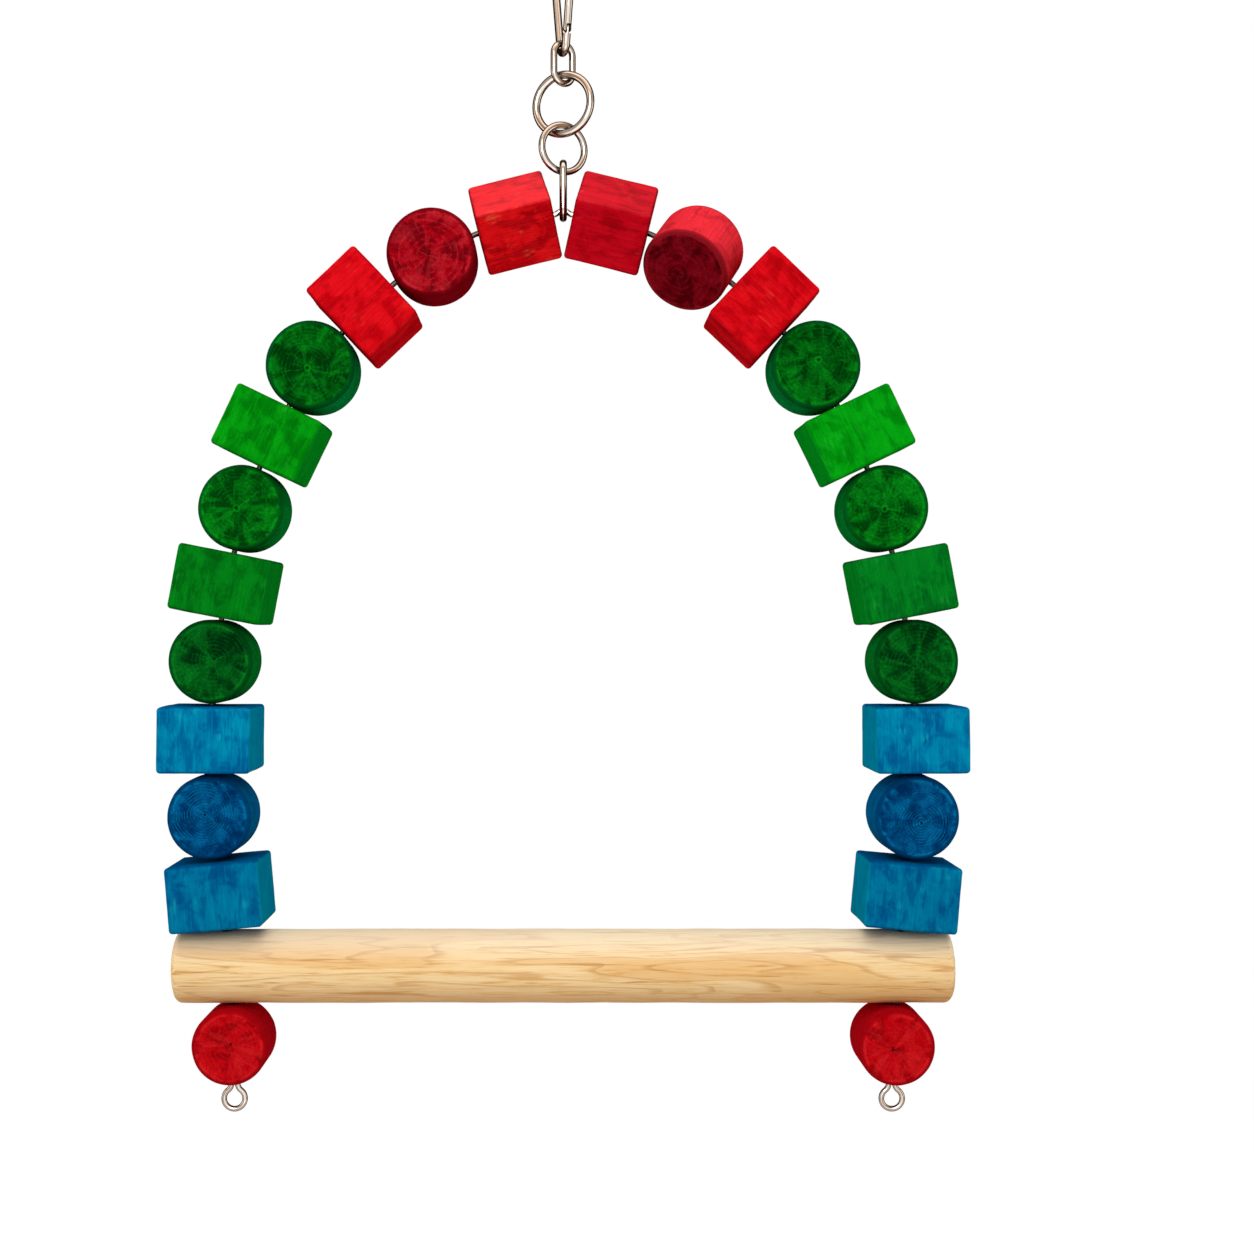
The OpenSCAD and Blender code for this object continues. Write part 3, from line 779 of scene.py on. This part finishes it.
# %% Make the blocks
SEED_STEP = 7.3
BLOCKS = {
    "red_cube": (CUBE_SIZE, 40, RED_CUBE, CRIMSON_CUBE),
    "red_block": (BLOCK_SIZE, 0, RED_BLOCK, RED_BLOCK),
    "green_block_1": (BLOCK_SIZE, 0, FRESH_BLOCK, GREEN_BLOCK),
    "green_block_2": (BLOCK_SIZE, 0, MOSS_BLOCK, DARK_GREEN_BLOCK),
    "blue_block_1": (BLOCK_SIZE, 0, BLUE_BLOCK, BLUE_BLOCK),
    "blue_block_2": (BLOCK_SIZE, 0, DEEP_BLUE_BLOCK, DEEP_BLUE_BLOCK),
}
seed = 1
for kind, (size, roll, *recipes) in BLOCKS.items():
    tint = kind.split("_")[0]
    for recipe, (side, sign) in zip(recipes, SIDES.items()):
        name = f"{kind}_{side}"
        place = bead_matrix(name, sign * roll)
        finish = block_finish(
            name + "_dye", place.to_translation(), place.to_euler(), size, recipe, seed * SEED_STEP,
            patchy=1.0 if tint == "blue" else 0.9, painted_light_up=UPPER_PAINTED_LIGHT_AMOUNT[side] if kind == "red_cube" else 0.0,
            cheek=CHEEKS.get(tint), tree_middle=(60 + 9 * (seed % 4), 30 + 11 * (seed % 3)))
        piece = settle(cut_block(size, seed), name + "_wood", name, finish, place)
        seed += 1
print("blocks made:", 2 * len(BLOCKS), "the last has", len(piece.data.polygons), "faces")

# %% [markdown]
# ### All the rounds
# Each kind has its diameter, its recipe and its habits: how wide and how plain
# its rings are, and the colour of its bark side. One round was strung up rolled
# on the wire. Its faces, which turn downwards, are painted darker as painted
# shade, and its bark side, turned up, is painted paler as painted light.

# %% Make the rounds
ROUNDS = {
    "red_round": (51, RED_ROUND, {"ring_width": 3.4, "ring_strength": 0.8, "petal_strength": 0.3,
                                  "crest_highlight_strength": 0.4, "bark": dye(140, 5, 20)}),
    "green_round_1": (51, GREEN_ROUND, {"bark": dye(4, 132, 58), "halo_strength": 0.5}),
    "green_round_2": (49, LIT_ROUND, {"bark": dye(4, 130, 46), "halo_strength": 0.3}),
    "green_round_3": (48, DEEP_ROUND, {"bark": dye(4, 122, 40), "ring_strength": 0.5}),
    "blue_round": (48, BLUE_ROUND, {"ring_width": 1.6, "ring_strength": 1.0, "ring_reach": 16.0,
                                    "petal_strength": 0.1, "bark": dye(2, 100, 150)}),
    "foot_round": (43.6, FOOT_ROUND, {"ring_width": 2.6, "petal_strength": 0.4, "bark": dye(186, 10, 24)}),
}
# The rolled round gets painted shade on its faces and painted light on its upturned bark side.
ROLLED_ROUND, ROLL, ROLLED_BARK_PAINTED_LIGHT = "red_round_right", 46, dye(240, 48, 60)
PITH_OFFSET = 2.6
for kind, (diameter, recipe, habits) in ROUNDS.items():
    bore = FOOT_BORE if kind == "foot_round" else BEAD_BORE
    for side in SIDES:
        name, roll = f"{kind}_{side}", 0
        if name == ROLLED_ROUND:
            roll, recipe, habits = ROLL, RED_ROUND_PAINTED_SHADE, dict(habits, bark=ROLLED_BARK_PAINTED_LIGHT)
        place = bead_matrix(name, roll)
        pith = (PITH_OFFSET * math.sin(seed * 1.9), PITH_OFFSET * math.cos(seed * 2.7))
        finish = round_finish(name + "_dye", place.to_translation(), place.to_euler(), diameter / 2, recipe,
                              seed * SEED_STEP, pith, **habits)
        piece = settle(slice_round(diameter, seed, bore), name + "_wood", name, finish, place)
        seed += 1
print("rounds made:", 2 * len(ROUNDS), "the last has", len(piece.data.polygons), "faces")

# %% [markdown]
# ## The perch
# A long dowel with rounded ends, drilled through near each end for the wire.
# Its solid gives the place and the size.

# %% Turn the perch
PERCH_RIM, PERCH_SEED, BORE_OUTWARD, BIT_LENGTH = 4, 40, 4, 50
perch_low, perch_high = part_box("perch")
perch_middle = (perch_low + perch_high) / 2
perch_length = (perch_high.x - perch_low.x) / MM
perch_diameter = (perch_high.z - perch_low.z) / MM
strand_x = joints["foot_round_right_spin"]["pos_m"][0]
lay = Matrix.Rotation(math.radians(90), 4, "Y")
shape = turn_bar(perch_diameter, perch_length, lay, PERCH_RIM, (1, 4, 4, 4))
grid_long_edges(shape, 300 * MM, 80)
make_uneven(shape, PERCH_SEED, slow=0.3, quick=0.08)
bores = [(PERCH_BORE, BIT_LENGTH, Matrix.Translation((sign * (strand_x + BORE_OUTWARD * MM), 0, 0)))
         for sign in SIDES.values()]
dowel = drill(to_mesh(shape, "perch"), bores)
pine = pine_finish("pine", perch_middle)
perch = settle(dowel, "perch_pine", "perch", pine, Matrix.Translation(perch_middle))
print("perch", round(perch_length, 1), "mm long, faces", len(perch.data.polygons))

# %% [markdown]
# ## Bending wire
# A wire worker goes along the wire: so far straight, then a bend of this
# radius through this angle. The same idea makes every metal piece here. A
# small circle of points is the wire's section. Extrude carries it along a
# straight run, and spin carries it round a bend. A positive turn bends
# clockwise, seen from the front.


# %% Bend a wire from a list of runs
def pick(parts, kind):
    return [part for part in parts if isinstance(part, kind)]


def bend_wire(start, slope, runs, diameter, sides=24, step=6.0, closed=False):
    """Runs are (turn in degrees, radius or length in mm). A turn of zero is straight."""
    shape = bmesh.new()
    here, heading = Vector(start) * MM, math.radians(slope)
    stand = Matrix.Translation(here) @ Matrix.Rotation(math.radians(90) + heading, 4, "Y")
    ring = bmesh.ops.create_circle(shape, cap_ends=False, segments=sides, radius=diameter / 2 * MM,
                                   matrix=stand)
    last = ring["verts"] + list(shape.edges)
    if not closed:
        bmesh.ops.contextual_create(shape, geom=list(shape.edges))
    for turn, size in runs:
        ahead = Vector((math.cos(heading), 0, -math.sin(heading)))
        if turn == 0:
            last = bmesh.ops.extrude_edge_only(shape, edges=pick(last, bmesh.types.BMEdge))["geom"]
            verts = pick(last, bmesh.types.BMVert)
            bmesh.ops.translate(shape, vec=ahead * size * MM, verts=verts)
            last = verts + [edge for edge in pick(last, bmesh.types.BMEdge)
                            if all(vert in verts for vert in edge.verts)]
            here = here + ahead * size * MM
            continue
        side = math.copysign(1, turn)
        centre = here + side * size * MM * Vector((-math.sin(heading), 0, -math.cos(heading)))
        count = max(3, math.ceil(abs(turn) / step))
        last = bmesh.ops.spin(shape, geom=last, cent=centre, axis=(0, 1, 0), angle=math.radians(turn),
                              steps=count)["geom_last"]
        heading += math.radians(turn)
        here = centre + Matrix.Rotation(math.radians(turn), 3, "Y") @ (here - centre)
    if closed:
        bmesh.ops.remove_doubles(shape, verts=shape.verts, dist=0.02 * MM)
    else:
        bmesh.ops.contextual_create(shape, geom=pick(last, bmesh.types.BMEdge))
    return shape, here, heading


# %% [markdown]
# ### The arch wire
# One length of wire makes the whole arch. From the middle of its small
# upstand it runs down the crown, the shoulder and the side, through the perch
# and the foot bead, round the eye, and back up into the foot bead. The list
# below is that half. The other half is the same list read backwards.

# %% Bend the arch
HALF_ARCH = [(36, 4.2), (0, 1.06667), (-30, 5), (27, 163), (39, 250), (23, 470), (0, 108.874), (-5, 120),
             (0, 35.528), (-52.0811, 5), (284.1622, 6), (-52.0811, 5), (0, 17)]
WIRE = 3.2
probe, half_end, half_slope = bend_wire((0, 0, 0), 0, HALF_ARCH, WIRE, sides=6)
probe.free()
wire_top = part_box("arch_wire")[1].z / MM - WIRE / 2
left_end = (-half_end.x / MM, 0, wire_top + half_end.z / MM)
whole_arch = HALF_ARCH[::-1] + HALF_ARCH
shape, right_end, _ = bend_wire(left_end, -math.degrees(half_slope), whole_arch, WIRE)
arch = settle(to_mesh(shape, "arch_wire"), "arch_wire_plated", "arch_wire", arch_nickel)
print("arch ends", [round(part, 2) for part in left_end], [round(part / MM, 2) for part in right_end])

# %% [markdown]
# ### Rings and links
# Two rings and two oval links hang in each other, each turned about the
# vertical. A ring is one bend all the way round. An oval link is two half
# bends with a short straight run on each side. The chain link's wire is a
# hair thinner than the solid's, so that it swings clear of the hook.

# %% Make the rings and links


def make_link(node, length, width, wire, turn):
    bend = (width - wire) / 2
    flank = length - width
    runs = [(90, bend), (180, bend), (90, bend)]
    if flank > 0:
        runs = [(90, bend), (0, flank), (180, bend), (0, flank), (90, bend)]
    link = bend_wire((0, 0, (length - wire) / 2), 0, runs, wire, closed=True)[0]
    low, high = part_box(node)
    place = Matrix.Translation((0, 0, (low.z + high.z) / 2)) @ Matrix.Rotation(math.radians(turn), 4, "Z")
    return settle(to_mesh(link, node), node + "_plated", node, nickel, place, crease=60)


HANGERS = {
    "chain_link": (26.6, 17, 3.9, 36),
    "large_ring": (38.4, 38.4, 4.6, -23),
    "small_ring": (30.8, 30.8, 4, 25),
    "long_link": (35.6, 15, 4.3, 90),
}
for node, sizes in HANGERS.items():
    link = make_link(node, *sizes)
    print(node, "points", len(link.data.vertices))

# %% [markdown]
# ### The snap hook
# One thick wire runs from the nose over the head, down the back and round the
# foot. Both its ends are hammered flat. The lower tab carries the gate's pin,
# and the upper one stops the gate.

# %% Bend the hook
HOOK_WIRE = 4.7
HEAD_BEND, FOOT_BEND = 16.5, 4.9
HINGE_RISE, SHOULDER, TAB, TAB_REACH = 8.4, 2.99055, 2.0, 2.1
NOSE_TAB, GATE_GAP, NOSE_DROP = 4.0, 0.25, 3.6
HOOK_TURN = Matrix.Rotation(math.radians(-70), 4, "Z")
hook_low, hook_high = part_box("hook_body")
head_height = hook_high.z / MM - HOOK_WIRE / 2 - HEAD_BEND
foot_height = hook_low.z / MM + HOOK_WIRE / 2 + FOOT_BEND
lean = math.asin((HEAD_BEND - FOOT_BEND) / (head_height - foot_height))
strand = (head_height - foot_height) * math.cos(lean)


def gate_side(rise):
    """A matrix that stands a piece on the hook's gate side, Z up the side."""
    foot = Vector((FOOT_BEND * math.cos(lean), 0, foot_height - FOOT_BEND * math.sin(lean))) * MM
    return Matrix.Translation(foot) @ Matrix.Rotation(lean, 4, "Y") @ Matrix.Translation((0, 0, rise * MM))


nose = gate_side(strand - NOSE_DROP + GATE_GAP).to_translation() / MM
lean_degrees = math.degrees(lean)
hook_runs = [(0, NOSE_DROP - GATE_GAP), (-180 - 2 * lean_degrees, HEAD_BEND), (0, strand),
             (-180 + 2 * lean_degrees, FOOT_BEND), (0, HINGE_RISE - SHOULDER)]
shape = bend_wire(nose, lean_degrees - 90, hook_runs, HOOK_WIRE, step=5)[0]


def hammer_tab(shape, stand, up, lengths):
    """Draws the wire's end out into a flat tab. Lengths are (distance, share of the tab's width)."""
    centre = stand.to_translation()
    face = min(caps_of(shape), key=lambda cap: (cap.calc_center_median() - centre).length)
    width = depth = HOOK_WIRE
    for distance, share in lengths:
        face = bmesh.ops.extrude_discrete_faces(shape, faces=[face])["faces"][0]
        shift = stand @ Matrix.Translation((0, 0, up * distance * MM))
        new_width = 2 * TAB_REACH * share
        bmesh.ops.scale(shape, vec=(new_width / width, TAB / depth, 1), space=stand.inverted(),
                        verts=face.verts)
        bmesh.ops.translate(shape, vec=shift.to_translation() - stand.to_translation(), verts=face.verts)
        stand, width, depth = shift, new_width, TAB


quarter = [(TAB_REACH * (math.sin(math.radians(angle)) - math.sin(math.radians(angle - 15))),
            math.cos(math.radians(angle))) for angle in (15, 30, 45, 60, 75, 85)]
hammer_tab(shape, gate_side(HINGE_RISE - SHOULDER), 1, [(0.05, 1), (SHOULDER - 0.05, 1)] + quarter)
hammer_tab(shape, gate_side(strand - NOSE_DROP + GATE_GAP), -1, [(0.05, 1), (NOSE_TAB - 0.05, 1)])
hook = settle(to_mesh(shape, "hook"), "hook_plated", "hook_body", nickel, HOOK_TURN, crease=35)
print("hook faces", len(hook.data.polygons), "lean", round(lean_degrees, 2))

# %% [markdown]
# ### The gate, its pin and its spring
# The gate, the pin and the plunger already have their right shapes. A copy of
# each solid is cleaned of spare points, and its edges are broken a little, as
# tumbling does.
# The spring is a real coil: a small circle of points, spun and lifted.

# %% Soften the gate and wind its spring


def soften(node, edge, finish):
    shape = bmesh.new()
    shape.from_mesh(frame["nodes"][node].data)
    bmesh.ops.remove_doubles(shape, verts=shape.verts, dist=0.002 * MM)
    bmesh.ops.dissolve_limit(shape, angle_limit=math.radians(1), verts=shape.verts, edges=shape.edges)
    sharp = [line for line in shape.edges if len(line.link_faces) == 2
             and line.calc_face_angle() > math.radians(30)]
    round_over(shape, sharp, edge, 2)
    return settle(to_mesh(shape, node), node + "_plated", node, finish, crease=35)


for node, edge in (("hook_gate", 0.12), ("gate_pin", 0.1), ("gate_plunger", 0.1)):
    piece = soften(node, edge, nickel)
    print(node, "faces", len(piece.data.polygons))

SPRING_D, SPRING_WIRE, SPRING_LENGTH, SPRING_RISE, TURNS, STEPS = 2.2, 0.4, 12.0, 4, 9, 16
shape = bmesh.new()
wire_radius = SPRING_WIRE / 2 * MM
lay = Matrix.Translation(((SPRING_D - SPRING_WIRE) / 2 * MM, 0, wire_radius))
bmesh.ops.create_circle(shape, cap_ends=True, segments=8, radius=wire_radius,
                        matrix=lay @ Matrix.Rotation(math.radians(90), 4, "X"))
climb = (SPRING_LENGTH - SPRING_WIRE) * MM / (TURNS * STEPS)
bmesh.ops.spin(shape, geom=list(shape.faces) + list(shape.edges) + list(shape.verts), cent=(0, 0, 0),
               axis=(0, 0, 1), dvec=(0, 0, climb), angle=math.radians(360 * TURNS), steps=TURNS * STEPS)
spring_place = HOOK_TURN @ gate_side(HINGE_RISE + TAB_REACH + GATE_GAP + SPRING_RISE)
spring = settle(to_mesh(shape, "spring"), "gate_spring_coil", "gate_spring", spring_steel, spring_place,
                crease=80)
print("spring points", len(spring.data.vertices))

# %% [markdown]
# ## Studio
# The swing hangs free in front of a white sweep. The world is white where the
# camera, a mirror or a glass looks at it, and a plainer grey as a lamp. The
# floor is far below. It catches the soft shadow, and fades into the same white
# further out.

# %% Light the world and lay the floor
AMBIENT, FLOOR_GLOW = 0.27, 0.62
FLOOR_HEIGHT, FLOOR_HALF = -1.15, 6.0
FADE_START, FADE_END = 0.9, 2.4


def seen_ray(tree):
    rays = place_node(tree, "LightPath").outputs
    seen = work_out(tree, "MAXIMUM", rays["Is Camera Ray"], rays["Is Glossy Ray"])
    return work_out(tree, "MAXIMUM", seen, rays["Is Transmission Ray"])


world = bpy.data.worlds.new("studio_white")
world.use_nodes = True
bpy.context.scene.world = world
tree = world.node_tree
sky = next(node for node in tree.nodes if node.type == "BACKGROUND")
sky.inputs["Color"].default_value = (1, 1, 1, 1)
tree.links.new(work_out(tree, "MULTIPLY_ADD", seen_ray(tree), 1 - AMBIENT, AMBIENT), sky.inputs["Strength"])

shape = bmesh.new()
bmesh.ops.create_grid(shape, x_segments=8, y_segments=8, size=FLOOR_HALF,
                      matrix=Matrix.Translation((0, 0, FLOOR_HEIGHT)))
floor = put_in_scene("studio_floor", to_mesh(shape, "studio_floor"))
white, tree, surface = open_material("floor_white")
surface.inputs["Base Color"].default_value = (0.8, 0.8, 0.8, 1)
surface.inputs["Roughness"].default_value = 0.9
surface.inputs["Emission Color"].default_value = (1, 1, 1, 1)
glow = place_node(tree, "Emission", {"Color": (1, 1, 1, 1), "Strength": 1.0})
coordinates = place_node(tree, "TexCoord")
away = length_of(tree, on_vectors(tree, "MULTIPLY", coordinates.outputs["Object"], (1, 1, 0)))
seen = seen_ray(tree)
tree.links.new(times(tree, seen, FLOOR_GLOW), surface.inputs["Emission Strength"])
far_off = times(tree, fade(tree, away, FADE_START, FADE_END), seen)
blend = place_node(tree, "MixShader", {0: far_off, 1: surface.outputs[0], 2: glow.outputs[0]})
out = next(node for node in tree.nodes if node.type == "OUTPUT_MATERIAL")
tree.links.new(blend.outputs[0], out.inputs["Surface"])
floor.data.materials.append(white)
print("floor at", FLOOR_HEIGHT)

# %% [markdown]
# ### Lamps
# One soft lamp stands in front and one hangs above, as over a product table.
# A weaker one on each side lights the beads' flanks. All face the middle of
# the arch.

# %% Hang the lamps
MIDDLE = Vector((0, 0, -0.4))
LAMPS = {
    "front_lamp": ((-0.35, -2.0, 0.35), 1.2, 19),
    "top_lamp": ((0.05, -0.7, 1.2), 2.2, 21),
    "side_lamp_left": ((-2.2, -0.3, -0.3), 1.5, 9),
    "side_lamp_right": ((2.2, -0.3, -0.3), 1.5, 9),
}
for name, (place, size, watts) in LAMPS.items():
    lamp = bpy.data.lights.new(name, "AREA")
    lamp.shape, lamp.size, lamp.energy = "DISK", size, watts
    holder = put_in_scene(name, lamp)
    holder.location = place
    holder.rotation_euler = (MIDDLE - Vector(place)).to_track_quat("-Z", "Y").to_euler()
print("lamps hung:", len(LAMPS))

# %% [markdown]
# ### Dark boards
# Two dark boards stand behind the swing, one on each side. The camera doesn't
# see them and they throw no shadow. They give the bright wire its dark
# outlines, as they would in a product studio.

# %% Stand the dark boards
BOARD_OUT, BOARD_BACK, BOARD_TURN = 0.75, 0.55, 52
BOARD_HALF_WIDTH, BOARD_HALF_HEIGHT = 0.75, 1.4
dark, _, surface = open_material("board_black")
surface.inputs["Base Color"].default_value = (0.05, 0.035, 0.028, 1)
surface.inputs["Roughness"].default_value = 1.0
upright = Matrix.Rotation(math.radians(90), 4, "X")
for side, sign in SIDES.items():
    shape = bmesh.new()
    turned = Matrix.Rotation(-sign * math.radians(BOARD_TURN), 4, "Z")
    lay = Matrix.Translation((sign * BOARD_OUT, BOARD_BACK, 0)) @ turned @ upright
    bmesh.ops.create_grid(shape, x_segments=1, y_segments=1, size=1.0,
                          matrix=lay @ Matrix.Diagonal((BOARD_HALF_WIDTH, BOARD_HALF_HEIGHT, 1, 1)))
    board = put_in_scene("dark_board_" + side, to_mesh(shape, "dark_board"))
    board.data.materials.append(dark)
    board.visible_camera = board.visible_diffuse = board.visible_shadow = False
    board.visible_transmission = False
bpy.context.scene.view_settings.view_transform = "Standard"
print("boards up")

# %% [markdown]
# ## Last step
# The scene is brought up to date.

# %% Bring the scene up to date
bpy.context.view_layer.update()
